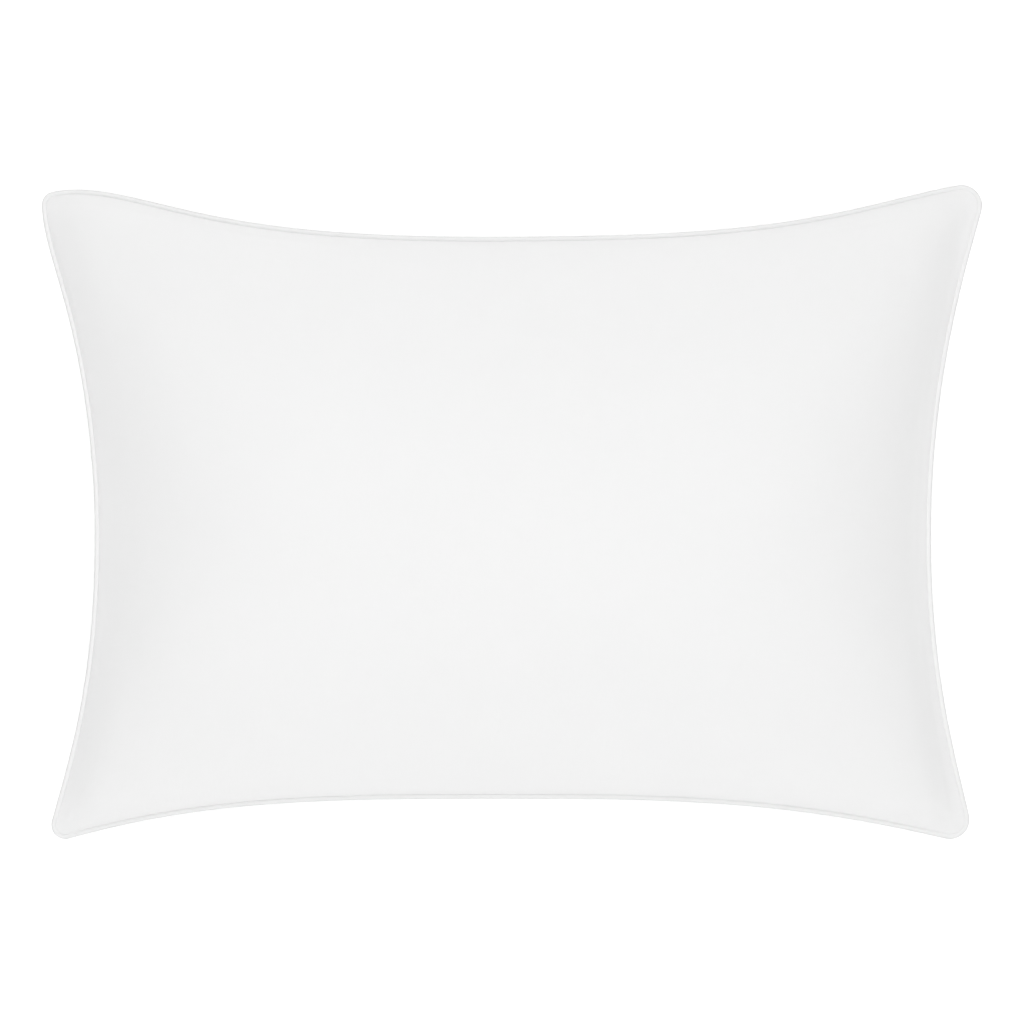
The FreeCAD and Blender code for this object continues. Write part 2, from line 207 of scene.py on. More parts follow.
# Studio: the floor with its cove and wall, the world's light from overhead and from the two
# ends of Y, the softbox, and the camera.
FLOOR_RADIUS = 6.0
FLOOR_SIDES = 96
COVE_RADIUS = 1.5
WALL_HEIGHT = 2.2
FLOOR_TONE = 0.8
FLOOR_GLOW = 0.25
WORLD_TOP = 0.45
WORLD_ENDS = 2.35
SOFTBOX = (1.2, 2.4)
SOFTBOX_POWER = 27.5
SOFTBOX_HEIGHT = 2.6
LENS = 85.0
VIEW_SHARE = 0.9175  # of the picture's width that the pillow's length takes up

# Grids: cells along X and Y in the simulation, how many times finer the shown cloth is, and
# the angle between two faces from which their edge is a sharp fold.
CELLS = (112, 76)
FINER = 3
FOLD_ANGLE = math.radians(50)


def mix(a, b, share):
    return a + (b - a) * share


def smooth(x):
    """0 below 0, 1 above 1, and an even turn between."""
    x = np.clip(x, 0, 1)
    return x * x * (3 - 2 * x)


# ---------------------------------------------------------------- outline


def side_curve(index, count=400):
    """Points of one side as rows of x, y, normal x, normal y, u, v."""
    ax, ay, a_radius = CORNERS[index]
    bx, by, b_radius = CORNERS[(index + 1) % 4]
    dip, start_power, end_power, start_flare, end_flare = SIDES[index]
    share = np.linspace(0, 1, count)
    length = math.hypot(bx - ax, by - ay)
    along = np.array([bx - ax, by - ay]) / length
    inward = np.array([-along[1], along[0]])
    off = 1 - 2 * share
    out = np.abs(off)
    power = np.where(off > 0, start_power, end_power)
    flare = np.where(off > 0, start_flare, end_flare)
    curve, kept = 1 - out ** power, 1 - flare * out ** FLARE_POWER
    drawn_in = dip * curve * kept
    fall = power * out ** (power - 1) * kept
    fall += flare * FLARE_POWER * out ** (FLARE_POWER - 1) * curve
    slope = np.sign(off) * 2 * dip * fall / length
    normal = (-inward + along * slope[:, None]) / np.hypot(1, slope)[:, None]
    spine = np.array([ax, ay]) + along * (share * length)[:, None] + inward * drawn_in[:, None]
    point = spine + normal * mix(a_radius, b_radius, share)[:, None]
    uv = mix(np.array(CORNER_SIGNS[index]), np.array(CORNER_SIGNS[(index + 1) % 4]), share[:, None])
    return np.hstack([point, normal, uv])


def half_arc(index, from_angle, to_angle, count=40):
    """Points round half of a corner's tip, in the same form."""
    x, y, radius = CORNERS[index]
    angle = np.linspace(from_angle, to_angle, count)
    normal = np.stack([np.cos(angle), np.sin(angle)], axis=1)
    point = np.array([x, y]) + radius * normal
    return np.hstack([point, normal, np.tile(CORNER_SIGNS[index], (count, 1))])


def outline_sides():
    """The four sides, each from the middle of one tip to the middle of the next."""
    sides = [side_curve(i) for i in range(4)]
    angle = [[math.atan2(s[e][3], s[e][2]) for e in (0, -1)] for s in sides]
    made = []
    for i in range(4):
        sweep_before = (angle[i][0] - angle[i - 1][1]) % (2 * math.pi)
        sweep_after = (angle[(i + 1) % 4][0] - angle[i][1]) % (2 * math.pi)
        before = half_arc(i, angle[i][0] - sweep_before / 2, angle[i][0])
        after = half_arc((i + 1) % 4, angle[i][1], angle[i][1] + sweep_after / 2)
        made.append(np.vstack([before[:-1], sides[i], after[1:]]))
    whole = np.vstack(made)
    middle = (whole[:, :2].min(0) + whole[:, :2].max(0)) / 2
    for side in made:
        side[:, :2] -= middle
    return made


def run_of(points):
    """How far along their line each of these points is."""
    step = np.linalg.norm(np.diff(points, axis=0), axis=1)
    return np.concatenate([[0], np.cumsum(step)])


def resampled(rows, count):
    """Rows again at count + 1 places evenly spaced along their line."""
    along = run_of(rows[:, :2])
    at = np.linspace(0, along[-1], count + 1)
    made = np.stack([np.interp(at, along, rows[:, k]) for k in range(rows.shape[1])], axis=1)
    made[:, 2:4] /= np.linalg.norm(made[:, 2:4], axis=1)[:, None]
    return made


def seam_height(u, v):
    return SEAM_HEIGHT - TIP_DROOP * np.abs(u * v) ** TIP_DROOP_POWER


SIDES_DENSE = outline_sides()


# ---------------------------------------------------------------- filled shape


def coons(bottom, top, left, right):
    """A grid [i][j] of rows between four sides of rows; bottom and top run along i."""
    s = np.linspace(0, 1, len(bottom))[:, None, None]
    t = np.linspace(0, 1, len(left))[None, :, None]
    ruled = (1 - t) * bottom[:, None] + t * top[:, None]
    ruled = ruled + (1 - s) * left[None] + s * right[None]
    corners = (1 - s) * (1 - t) * bottom[0] + s * (1 - t) * bottom[-1]
    return ruled - corners - (1 - s) * t * top[0] - s * t * top[-1]


def plan_grid():
    """Grid of x, y, normal x, normal y, u, v over the whole pillow inside the piping."""
    across, up = CELLS
    top = resampled(SIDES_DENSE[0], across)[::-1]
    left = resampled(SIDES_DENSE[1], up)[::-1]
    bottom = resampled(SIDES_DENSE[2], across)
    right = resampled(SIDES_DENSE[3], up)
    for side in (top, left, bottom, right):
        side[:, :2] -= side[:, 2:4] * ROOT
    return coons(bottom, top, left, right)


def fullness(u, v, u_power, v_power, power):
    u, v = np.minimum(np.abs(u), 1), np.minimum(np.abs(v), 1)
    rounder = TIP_ROUND * (u * v) ** TIP_ONSET
    return ((1 - u ** u_power) * (1 - v ** v_power)) ** (power - rounder)


def filled(plan):
    """Upper and lower heights of the filled pillow over the plan."""
    u, v = plan[..., 4], plan[..., 5]
    seam = seam_height(u, v)
    crown = mix(seam, TOP, fullness(u, v, *CROWN_POWERS))
    edge = 1 - FLAT_SHARE ** FLAT_POWER
    depth = fullness(u, v, FLAT_POWER, FLAT_POWER, 1.0)
    belly = seam * np.clip(1 - depth / edge, 0, 1) ** BELLY_POWER
    return crown, belly


def lumps(points, size, seed):
    """Smooth noise at points, with lumps of about this size."""
    shift = Vector((seed * 13.7, seed * 5.1, seed * 9.3))  # far apart for each seed
    flat = points.reshape(-1, 3)
    made = [noise.noise(Vector(p) / size + shift) for p in flat]
    return np.array(made).reshape(points.shape[:-1])


# ---------------------------------------------------------------- cloth simulation


def cover_mesh(plan, crown, belly):
    """One closed mesh of both panels, the two sharing the seam, and its grids of indices."""
    nx, ny = plan.shape[:2]
    upper = np.arange(nx * ny).reshape(nx, ny)
    rim = np.ones((nx, ny), bool)
    rim[1:-1, 1:-1] = False
    lower = upper.copy()
    lower[~rim] = nx * ny + np.arange((~rim).sum())
    points = np.dstack([plan[..., :2], crown]).reshape(-1, 3)
    under = np.dstack([plan[..., :2], belly])[~rim]
    points = np.vstack([points, under])
    faces = np.vstack([quads(upper), quads(lower)[:, ::-1]])
    return points, faces, upper, lower, upper[rim]


def new_object(name, points, faces):
    mesh = bpy.data.meshes.new(name)
    mesh.from_pydata(np.asarray(points).tolist(), [], [list(face) for face in faces])
    mesh.update()
    obj = bpy.data.objects.new(name, mesh)
    bpy.context.scene.collection.objects.link(obj)
    return obj


def simulated(points, faces, seam):
    """The cover's points after a cloth simulation on the floor, with its seam held."""
    cover = new_object("cover", points, faces)
    held = cover.vertex_groups.new(name="seam")
    held.add(seam.tolist(), 1.0, "REPLACE")
    cloth = cover.modifiers.new("cloth", "CLOTH")
    s = cloth.settings
    s.quality = 6
    s.mass = 0.001
    s.air_damping = 2.0
    s.tension_stiffness = s.compression_stiffness = 30
    s.shear_stiffness = 12
    s.bending_stiffness = 0.6
    s.shrink_min = -0.012
    s.use_pressure = True
    s.uniform_pressure_force = PRESSURE
    s.vertex_group_mass = "seam"
    s.effector_weights.gravity = 0
    cloth.collision_settings.distance_min = CLEARANCE
    floor = new_object("sim_floor", [(-1, -1, 0), (1, -1, 0), (1, 1, 0), (-1, 1, 0)], [(0, 1, 2, 3)])
    floor.modifiers.new("collision", "COLLISION")
    floor.collision.thickness_outer = CLEARANCE
    scene = bpy.context.scene
    cloth.point_cache.frame_start, cloth.point_cache.frame_end = 1, FRAMES
    for f in range(1, FRAMES + 1):
        scene.frame_set(f)
    result = cover.evaluated_get(bpy.context.evaluated_depsgraph_get()).to_mesh()
    moved = np.zeros(len(result.vertices) * 3)
    result.vertices.foreach_get("co", moved)
    scene.frame_set(1)
    for obj in (cover, floor):
        bpy.data.objects.remove(obj)
    return moved.reshape(-1, 3)


def relaxed(points, passes):
    """A grid of points smoothed this many times, with its edge held."""
    points = points.copy()
    for _ in range(passes):
        near = points[:-2, 1:-1] + points[2:, 1:-1] + points[1:-1, :-2] + points[1:-1, 2:]
        points[1:-1, 1:-1] = mix(points[1:-1, 1:-1], near / 4, 0.5)
    return points


def settled_cover():
    """Grids of the upper and lower cloth's points. They are part of the way from the firm
    shape of the filling to the simulated one, and without the simulation's small ripples."""
    plan = plan_grid()
    crown, belly = filled(plan)
    inside = 1 - np.maximum(np.abs(plan[..., 4]), np.abs(plan[..., 5])) ** EDGE_POWER
    lump = FILL_LUMP * inside * lumps(np.dstack([plan[..., :2], crown]), FILL_LUMP_SIZE, 1)
    firm = [np.dstack([plan[..., :2], z]) for z in (crown + lump, belly)]
    slack = mix(crown, seam_height(plan[..., 4], plan[..., 5]), START_SLACK) + lump
    points, faces, upper, lower, seam = cover_mesh(plan, slack, belly)
    points = simulated(points, faces, seam)
    points[:, 2] -= points[:, 2].min()
    soft = points[upper], points[lower]
    soft[1][[0, -1]], soft[1][:, [0, -1]] = firm[1][[0, -1]], firm[1][:, [0, -1]]
    return [relaxed(mix(f, s, SETTLED), SMOOTHING) for f, s in zip(firm, soft)]


# ---------------------------------------------------------------- grids


def finer_weights(count, finer):
    """Weights that turn count + 1 points into a finer row, on a smooth curve near them that
    starts and ends at the first and last."""
    at = np.linspace(0, count, count * finer + 1)
    first = np.minimum(at.astype(int), count - 1)
    f = at - first
    parts = (
        (1 - f) ** 3 / 6,
        (3 * f ** 3 - 6 * f ** 2 + 4) / 6,
        (-3 * f ** 3 + 3 * f ** 2 + 3 * f + 1) / 6,
        f ** 3 / 6,
    )
    padded = np.zeros((len(at), count + 3))
    for k, part in enumerate(parts):
        padded[np.arange(len(at)), first + k] += part
    weights = padded[:, 1:-1].copy()
    weights[:, 0] += 2 * padded[:, 0]
    weights[:, 1] -= padded[:, 0]
    weights[:, -1] += 2 * padded[:, -1]
    weights[:, -2] -= padded[:, -1]
    return weights


def fine_plan():
    """The plan again, on the shown cloth's finer grid."""
    sides = [resampled(s, CELLS[i % 2] * FINER) for i, s in enumerate(SIDES_DENSE)]
    for side in sides:
        side[:, :2] -= side[:, 2:4] * ROOT
    return coons(sides[2], sides[0][::-1], sides[1][::-1], sides[3])


def refined(points, times):
    """A grid of points with this many times as many cells each way, on a smooth surface."""
    across, up = (finer_weights(n - 1, times) for n in points.shape[:2])
    return np.tensordot(across, np.tensordot(up, points, (1, 1)), (1, 1))


def finer(points, plan):
    """A simulated grid of points on the finer grid, with its edge exactly at the seam."""
    made = refined(points, FINER)
    edge = np.dstack([plan[..., :2], seam_height(plan[..., 4], plan[..., 5])])
    off = edge - made
    return made + coons(off[:, 0], off[:, -1], off[0], off[-1])


def normals(points):
    """Upward normals of a grid of points."""
    n = np.cross(np.gradient(points, axis=0), np.gradient(points, axis=1))
    return n / np.maximum(np.linalg.norm(n, axis=2), 1e-12)[..., None]


def rim_of(grid):
    """The edge of a grid as one anticlockwise loop."""
    return np.concatenate([grid[:-1, 0], grid[-1, :-1], grid[:0:-1, -1], grid[0, :0:-1]])


def quads(grid):
    """Faces over a grid of indices, seen anticlockwise from above."""
    return np.stack(
        [grid[:-1, :-1], grid[1:, :-1], grid[1:, 1:], grid[:-1, 1:]], axis=-1
    ).reshape(-1, 4)


def strip(a, b):
    """Faces between two closed loops of indices."""
    return np.stack([a, np.roll(a, -1), np.roll(b, -1), b], axis=-1)


def finish_mesh(obj, uv, material, body="root"):
    """Gives a new object its texture places, its material, and faces that are smooth but for
    its folds, and rides it."""
    mesh = obj.data
    mesh.validate()
    layer = mesh.uv_layers.new(name="cut")
    corner = np.zeros(len(mesh.loops), int)
    mesh.loops.foreach_get("vertex_index", corner)
    layer.data.foreach_set("uv", uv[corner].astype(np.float32).ravel())
    mesh.polygons.foreach_set("use_smooth", np.ones(len(mesh.polygons), bool))
    mesh.set_sharp_from_angle(angle=FOLD_ANGLE)
    mesh.materials.append(material)
    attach(obj, body)
    return obj


# ---------------------------------------------------------------- cover


def seam_places(plan):
    """For each side of a grid: how far each point is from that side's seam, and how far
    along it, both along the cloth."""
    step = [np.linalg.norm(np.diff(plan[..., :2], axis=a), axis=2).mean() for a in (0, 1)]
    i, j = np.meshgrid(*(np.arange(n) for n in plan.shape[:2]), indexing="ij")
    x, y = i * step[0], j * step[1]
    return ((y, x), (x, y), (y.max() - y, x), (x.max() - x, y))


def puckers(plan, seed):
    """Height of the small gathers that the seam draws in the cloth beside it."""
    total = np.zeros(plan.shape[:2])
    near_tip = np.abs(plan[..., 4] * plan[..., 5]) ** PUCKER_TIP_POWER
    for side, (away, along) in enumerate(seam_places(plan)):
        close = away < PUCKER_REACH * PUCKER_END
        rise = away / PUCKER_REACH * np.exp(1 - away / PUCKER_REACH)
        place = np.dstack([along / PUCKER_PITCH, away / PUCKER_LENGTH, np.full_like(along, side)])
        ripple = np.zeros_like(total)
        shift = Vector((0, 0, seed * 10.0))
        ripple[close] = [noise.noise(Vector(p) + shift) for p in place[close]]
        total += ripple * rise * mix(PUCKER_SIDE, PUCKER_TIP, near_tip)
    return total


def tip_share(plan):
    """1 in a corner's tip, falling to 0 where the seam allowance has its full width."""
    from_tip = (1 - np.abs(plan[:, 4])) * HALF_SIDES[0] + (1 - np.abs(plan[:, 5])) * HALF_SIDES[1]
    return np.clip(1 - from_tip / TIP_REACH, 0, 1)


def panel(name, cloth, plan, up, material):
    """A cloth panel as a closed shell with its turned-in seam allowance. up is 1 for the
    upper panel and -1 for the lower."""
    outer = cloth.copy()
    by_seam = np.maximum(np.abs(plan[..., 4]), np.abs(plan[..., 5])) ** LIP_POWER
    outer[..., 2] += up * LIP_HEIGHT * by_seam
    outer[..., :2] += plan[..., 2:4] * ((ROOT - LIP_INSET) * by_seam)[..., None]
    outer += (up * puckers(plan, 3 + up) * (1 - by_seam))[..., None] * normals(outer)
    outer[..., 2] = np.maximum(outer[..., 2], 0)
    inner = outer - up * CLOTH * normals(outer)
    rim = rim_of(plan)
    reach = mix(ALLOWANCE, TIP_ALLOWANCE, tip_share(rim))[:, None]
    seam_z = seam_height(rim[:, 4], rim[:, 5])[:, None]
    raw = rim[:, :2] - rim[:, 2:4] * reach
    near = np.hstack([raw, seam_z + up * FLANGE_HALF])
    far = np.hstack([raw, seam_z + up * (FLANGE_HALF + CLOTH)])
    root = np.hstack([rim[:, :2], seam_z + up * FLANGE_HALF])
    hem = rim[:, :2] + rim[:, 2:4] * (ROOT - HEM_INSET)
    hem = np.hstack([hem, seam_z + up * HEM_HEIGHT])
    fold = rim[:, :2] - rim[:, 2:4] * FOLD_INSET * CLOTH
    fold = np.hstack([fold, seam_z + up * (FLANGE_HALF + CLOTH)])
    count, shape = outer.shape[0] * outer.shape[1], outer.shape[:2]
    outer_at = np.arange(count).reshape(shape)
    inner_at = outer_at + count
    outer_rim, inner_rim = rim_of(outer_at), rim_of(inner_at)
    hem_at, root_at, near_at, far_at = (
        2 * count + k * len(rim) + np.arange(len(rim)) for k in range(4)
    )
    points = np.vstack([outer.reshape(-1, 3), inner.reshape(-1, 3), hem, root, near, far])
    points[inner_rim] = fold
    faces = np.vstack([
        quads(outer_at),
        quads(inner_at)[:, ::-1],
        strip(hem_at, outer_rim),
        strip(root_at, hem_at),
        strip(near_at, root_at),
        strip(far_at, near_at),
        strip(inner_rim, far_at),
    ])
    if up < 0:
        faces = faces[:, ::-1]
    obj = new_object(name, points, faces)
    s, t = np.meshgrid(*(np.linspace(0, 1, n) for n in shape), indexing="ij")
    uv = np.dstack([s * CUT[0], t * CUT[1]]).reshape(-1, 2)
    uv = np.vstack([uv, uv] + [uv[outer_rim]] * 4)
    return finish_mesh(obj, uv, material), outer


# ---------------------------------------------------------------- piping


def whole_outline(step):
    """The outline as one closed loop of rows at about this step, and the length along it."""
    rows = [resampled(side, 400)[:-1] for side in SIDES_DENSE]
    rows = np.vstack(rows + [rows[0][:1]])
    length = np.linalg.norm(np.diff(rows[:, :2], axis=0), axis=1).sum()
    count = int(round(length / step))
    loop = resampled(rows, count)[:-1]
    return loop, np.arange(count) * length / count, length


def seam_frames(loop):
    """Centre line on the seam, and the inward direction, of each row of the outline."""
    centre = np.column_stack([loop[:, :2], seam_height(loop[:, 4], loop[:, 5])])
    inward = np.column_stack([-loop[:, 2:4], np.zeros(len(loop))])
    return centre, inward


def piping_section(reach):
    """The piping strip's section at one place: inset and height of each point, and how far
    along the strip's width it is. reach is the allowance's width there."""
    bore = CORD_RADIUS + SLIP
    outer_edge = math.asin(FLANGE_HALF / BEAD_RADIUS)
    inner_edge = math.asin(SLIP / bore)
    turn = np.linspace(outer_edge, 2 * math.pi - outer_edge, 25)
    back = np.linspace(2 * math.pi - inner_edge, inner_edge, 17)
    raw = ROOT + reach
    outer = np.stack([BEAD_RADIUS * (1 + np.cos(turn)), BEAD_RADIUS * np.sin(turn)], axis=1)
    inner = np.stack([BEAD_RADIUS + bore * np.cos(back), bore * np.sin(back)], axis=1)
    lower = [(raw, -FLANGE_HALF), (raw, -SLIP)]
    upper = [(raw, SLIP), (raw, FLANGE_HALF)]
    points = np.vstack([outer, lower, inner, upper])
    girth = np.concatenate([
        turn * BEAD_RADIUS,
        np.full(2, turn[-1] * BEAD_RADIUS + reach),
        back * BEAD_RADIUS,
        np.full(2, -reach),
    ])
    return points, girth, turn


def piping(material):
    """The bias strip round its cord: a bead all the way round, with the faint gathers of
    cloth that is bent round a cord, and the slanting join of the strip's two ends."""
    loop, along, length = whole_outline(PIPING_STEP)
    centre, inward = seam_frames(loop)
    tips = tip_share(loop)
    rings, girths = [], []
    for k in range(len(loop)):
        section, girth, turn = piping_section(mix(ALLOWANCE, TIP_ALLOWANCE, tips[k]))
        n = len(turn)
        slant = along[k] + turn * BEAD_RADIUS
        ripple = [
            noise.noise(Vector((s / PIPING_PITCH, a * 0.6, 7.0))) for s, a in zip(slant, turn)
        ]
        swell = PIPING_RIPPLE * np.array(ripple)
        from_join = slant - JOIN_AT * length
        swell += JOIN_SWELL * smooth(1.5 - np.abs(from_join) / JOIN_WIDTH)
        swell -= JOIN_SWELL * JOIN_DIP * np.exp(-(from_join / JOIN_DIP_WIDTH) ** 2)
        swell *= np.sin((turn - turn[0]) / (turn[-1] - turn[0]) * math.pi) ** 0.5
        out = section[:n] - [BEAD_RADIUS, 0]
        section[:n] += out / BEAD_RADIUS * swell[:, None]
        point = centre[k] + inward[k] * section[:, :1]
        point[:, 2] += section[:, 1]
        rings.append(point)
        girths.append(girth)
    rings = np.array(rings)
    rows, columns = rings.shape[:2]
    at = np.arange(rows * columns).reshape(rows, columns)
    faces = np.vstack([strip(at[k], at[(k + 1) % rows]) for k in range(rows)])
    obj = new_object("piping", rings.reshape(-1, 3), faces)
    uv = np.dstack([np.tile(along[:, None], (1, columns)), np.array(girths)])
    return finish_mesh(obj, uv.reshape(-1, 2), material)


# ---------------------------------------------------------------- small pieces


def tube_mesh(line, radius, sides=8):
    """Points and faces of a round thread with closed ends along a line of points."""
    line = np.asarray(line, float)
    along = np.gradient(line, axis=0)
    along /= np.linalg.norm(along, axis=1)[:, None]
    side = np.cross(along, [0.3, 0.2, 0.9])  # any direction that no thread runs in
    side /= np.linalg.norm(side, axis=1)[:, None]
    other = np.cross(along, side)
    angle = np.arange(sides) * 2 * math.pi / sides
    around = side[:, None] * np.cos(angle)[None, :, None]
    around = around + other[:, None] * np.sin(angle)[None, :, None]
    points = (line[:, None] + radius * around).reshape(-1, 3)
    at = np.arange(len(points)).reshape(len(line), sides)
    faces = [strip(at[k], at[k + 1]) for k in range(len(line) - 1)]
    return points, np.vstack(faces), (at[0][::-1], at[-1])


def joined(parts):
    """Points and faces of several (points, faces, ends) as one."""
    points, faces, start = [], [], 0
    for p, f, ends in parts:
        points.append(p)
        faces += (f + start).tolist() + [(e + start).tolist() for e in ends]
        start += len(p)
    return np.vstack(points), faces


def closing_stitches(outer, plan, material):
    """Hand stitches over the opening that the filling went in by: under the -X side, on the
    lower panel beside the piping."""
    n = -normals(outer)
    ys = plan[0, :, 1]
    parts = []
    count = int(CLOSING_LENGTH / STITCH_PITCH)
    for k in range(count):
        middle = (k - count / 2 + 0.5) * STITCH_PITCH
        uneven = noise.noise(Vector((k * 1.7, 3.0, 0.0)))
        length = STITCH_PITCH * (STITCH_SHARE + UNEVEN * uneven)
        line = []
        for share in np.linspace(-0.5, 0.5, 9):
            y = middle + share * length
            j = np.interp(y, ys, np.arange(len(ys)))
            i = 1.0 + STITCH_SLANT * share + UNEVEN * uneven  # cells in from the seam
            spot, up = grid_at(outer, i, j), grid_at(n, i, j)
            proud = THREAD_RADIUS * (1.1 - 8.0 * abs(share) ** 3)  # its ends dive into the cloth
            line.append(spot + up * proud)
        parts.append(tube_mesh(line, THREAD_RADIUS))
    points, faces = joined(parts)
    obj = new_object("closing_stitches", points, faces)
    return finish_mesh(obj, points[:, 1:], material)


def grid_at(grid, i, j):
    """A grid's value between its points."""
    a, b = int(i), int(j)
    f, g = i - a, j - b
    low = mix(grid[a, b], grid[a + 1, b], f)
    high = mix(grid[a, b + 1], grid[a + 1, b + 1], f)
    return mix(low, high, g)


def closed_between(top, bottom):
    """Points and faces of a closed piece between two grids of points."""
    at = np.arange(top.shape[0] * top.shape[1]).reshape(top.shape[:2])
    under = at + at.size
    points = np.vstack([top.reshape(-1, 3), bottom.reshape(-1, 3)])
    faces = np.vstack([quads(at), quads(under)[:, ::-1], strip(rim_of(under), rim_of(at))])
    return points, faces


def care_label(material):
    """Blank satin tape folded in two, which hangs from the seam under the -X side."""
    left = SIDES_DENSE[1]
    along = run_of(left[:, :2])
    middle = np.interp(-LABEL_Y, -left[:, 1], along)
    # The middle of the tape from its raw end to its fold: inset, and depth below the seam.
    turn = ROOT - 0.0004
    path = [(ROOT + LABEL_HELD, 0.0013), (ROOT + 0.003, 0.0013), (ROOT, 0.0014)]
    path.append((turn, LABEL_TURN))
    for share in (0.06, 0.15, 0.3, 0.5, 0.75, 1.0):
        lean = LABEL_LEAN * math.sin(share * 1.9)
        path.append((turn + lean, LABEL_TURN + LABEL_DROP * share))
    path = finer_weights(len(path) - 1, 6) @ np.array(path)
    run = np.gradient(path, axis=0)
    run /= np.linalg.norm(run, axis=1)[:, None]
    side = np.stack([run[:, 1], -run[:, 0]], axis=1)
    free = smooth((path[:, 1] - 0.003) / LABEL_DROP)[:, None]
    gap = LABEL_GAP + LABEL_OPEN * free
    front, back = path + side * gap, path - side * gap
    bow = np.linspace(0, math.pi, 9)[1:-1, None]
    fold = path[-1] + gap[-1] * (np.cos(bow) * side[-1] + np.sin(bow) * run[-1])
    tape = np.vstack([front, fold, back[::-1]])
    freed = np.concatenate([free, np.ones((len(fold), 1)), free[::-1]])[:, 0]
    columns = []
    for across in np.linspace(-0.5, 0.5, 17):
        x, y, nx, ny, u, v = (
            np.interp(middle + across * LABEL_WIDTH, along, left[:, k]) for k in range(6)
        )
        sway = freed * (LABEL_BOW * math.sin(across * 5.0) + LABEL_TWIST * across * freed)
        inset = tape[:, 0] + sway
        z = seam_height(u, v) - tape[:, 1] + freed * LABEL_WAVE * math.sin(across * 7)
        columns.append(np.stack([x - nx * inset, y - ny * inset, z], axis=1))
    grid = np.array(columns)
    half_ply = normals(grid) * LABEL_PLY / 2
    points, faces = closed_between(grid + half_ply, grid - half_ply)
    obj = new_object("care_label_tape", points, faces)
    length = run_of(tape)
    s, t = np.meshgrid(np.linspace(0, LABEL_WIDTH, len(grid)), length, indexing="ij")
    uv = np.dstack([s, t]).reshape(-1, 2)
    return finish_mesh(obj, np.vstack([uv, uv]), material), float(length[-1])


def twisted_cord(material):
    """The filler cord of three strands, laid round the seam inside the piping."""
    loop, along, length = whole_outline(CORD_STEP)
    centre, inward = seam_frames(loop)
    angle = np.arange(CORD_SIDES) * 2 * math.pi / CORD_SIDES
    turns = round(length / CORD_LAY)
    phase = along * turns * 2 * math.pi / length
    strands = np.abs(np.cos(CORD_STRANDS / 2 * (angle[None] - phase[:, None])))
    radius = CORD_RADIUS * (CORD_GROOVE + CORD_RELIEF * strands)[..., None]
    out = inward[:, None] * np.cos(angle)[None, :, None]
    out = out + np.array([0, 0, 1]) * np.sin(angle)[None, :, None]
    points = (centre + inward * BEAD_RADIUS)[:, None] + radius * out
    rows = len(loop)
    at = np.arange(rows * CORD_SIDES).reshape(rows, CORD_SIDES)
    faces = np.vstack([strip(at[k], at[(k + 1) % rows]) for k in range(rows)])
    obj = new_object("cord_strands", points.reshape(-1, 3), faces)
    girth = np.tile(angle * CORD_RADIUS, (rows, 1))
    uv = np.dstack([np.tile(along[:, None], (1, CORD_SIDES)), girth])
    return finish_mesh(obj, uv.reshape(-1, 2), material)


def filling_layer(name, above, below, cells, high, low, material):
    """A layer of fibre between two grids, which stops this many cells inside the seam. high
    and low give its upper and lower face from the depth of the filling there."""
    above, below = above[cells:-cells, cells:-cells], below[cells:-cells, cells:-cells]
    depth = (above[..., 2] - below[..., 2])[..., None]
    faces_of = []
    for k, level in enumerate((high, low)):
        face = below + (above - below) * (level(depth) / depth)
        face = refined(face, 2)
        tuft = FIBRE_TUFT * lumps(face, FIBRE_TUFT_SIZE, 5 + k)
        faces_of.append(face + tuft[..., None] * normals(face))
    points, faces = closed_between(*faces_of)
    return finish_mesh(new_object(name, points, faces), points[:, :2], material)


# ---------------------------------------------------------------- materials


